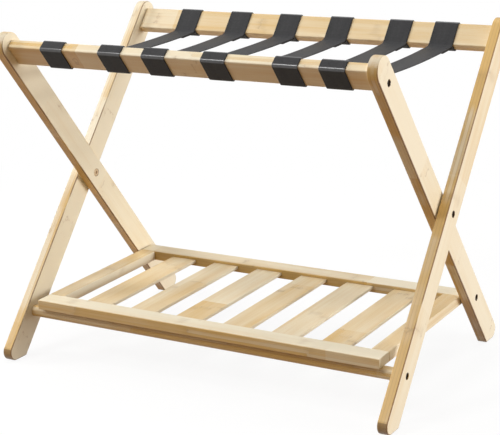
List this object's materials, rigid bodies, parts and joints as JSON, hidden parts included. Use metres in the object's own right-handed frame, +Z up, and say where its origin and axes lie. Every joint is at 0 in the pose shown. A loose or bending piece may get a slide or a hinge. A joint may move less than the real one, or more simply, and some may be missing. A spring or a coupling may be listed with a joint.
{
  "type": "folding luggage rack",
  "caption": "Folding wooden luggage rack with crossed legs, black webbing straps across the top rails and a slatted shelf below.",
  "frame": {"origin": "on the floor below the pivot bolts, midway between the sides", "axes": "+Z up, +X along the rails, -Y to the front, where the shelf rests on the lower bar"},
  "size_m": [0.68, 0.4616, 0.53],
  "materials": {
    "frame_bamboo": "satin lacquer on laminated bamboo",
    "shelf_bamboo": "satin lacquer on laminated bamboo",
    "strap_webbing": "woven polyester webbing, slight sheen",
    "bolt_steel": "dark oxide",
    "washer_nylon": "moulded nylon",
    "dowel_wood": "bare wood"
  },
  "bodies": {
    "outer_frame": {"outer_leg_left": "frame_bamboo", "outer_leg_right": "frame_bamboo", "back_rail": "frame_bamboo", "lower_bar": "frame_bamboo", "back_rail_bolt_left": "bolt_steel", "back_rail_bolt_right": "bolt_steel", "lower_bar_bolt_left": "bolt_steel", "lower_bar_bolt_right": "bolt_steel", "pivot_bolt_left": "bolt_steel", "pivot_bolt_right": "bolt_steel", "pivot_washer_left": "washer_nylon", "pivot_washer_right": "washer_nylon", "back_rail_dowel_left": "dowel_wood", "back_rail_dowel_right": "dowel_wood", "strap_1_back_loop": "strap_webbing", "strap_2_back_loop": "strap_webbing", "strap_3_back_loop": "strap_webbing", "strap_4_back_loop": "strap_webbing", "strap_5_back_loop": "strap_webbing", "strap_6_back_loop": "strap_webbing", "strap_1_span": "strap_webbing", "strap_2_span": "strap_webbing", "strap_3_span": "strap_webbing", "strap_4_span": "strap_webbing", "strap_5_span": "strap_webbing", "strap_6_span": "strap_webbing"},
    "inner_frame": {"inner_leg_left": "frame_bamboo", "inner_leg_right": "frame_bamboo", "front_rail": "frame_bamboo", "front_rail_bolt_left": "bolt_steel", "front_rail_bolt_right": "bolt_steel", "shelf_bolt_left": "bolt_steel", "shelf_bolt_right": "bolt_steel", "pivot_sleeve_left": "bolt_steel", "pivot_sleeve_right": "bolt_steel", "shelf_spacer_left": "washer_nylon", "shelf_spacer_right": "washer_nylon", "front_rail_dowel_left": "dowel_wood", "front_rail_dowel_right": "dowel_wood", "strap_1_front_loop": "strap_webbing", "strap_2_front_loop": "strap_webbing", "strap_3_front_loop": "strap_webbing", "strap_4_front_loop": "strap_webbing", "strap_5_front_loop": "strap_webbing", "strap_6_front_loop": "strap_webbing"},
    "shelf_panel": {"shelf_front_board": "shelf_bamboo", "shelf_back_board": "shelf_bamboo", "shelf_side_board_left": "shelf_bamboo", "shelf_side_board_right": "shelf_bamboo", "shelf_slat_1": "shelf_bamboo", "shelf_slat_2": "shelf_bamboo", "shelf_slat_3": "shelf_bamboo", "shelf_slat_4": "shelf_bamboo", "shelf_slat_5": "shelf_bamboo", "shelf_slat_6": "shelf_bamboo"}
  },
  "joints": [
    {"name": "fold", "type": "hinge", "parent": "outer_frame", "child": "inner_frame", "pos_m": [0, 0, 0.266], "axis": [-1, 0, 0], "range_deg": [0, 70], "deforming": ["strap_1_span", "strap_2_span", "strap_3_span", "strap_4_span", "strap_5_span", "strap_6_span"]},
    {"name": "shelf_lift", "type": "hinge", "parent": "inner_frame", "child": "shelf_panel", "pos_m": [0, 0.14375, 0.09161], "axis": [-1, 0, 0], "range_deg": [0, 51.5]}
  ]
}
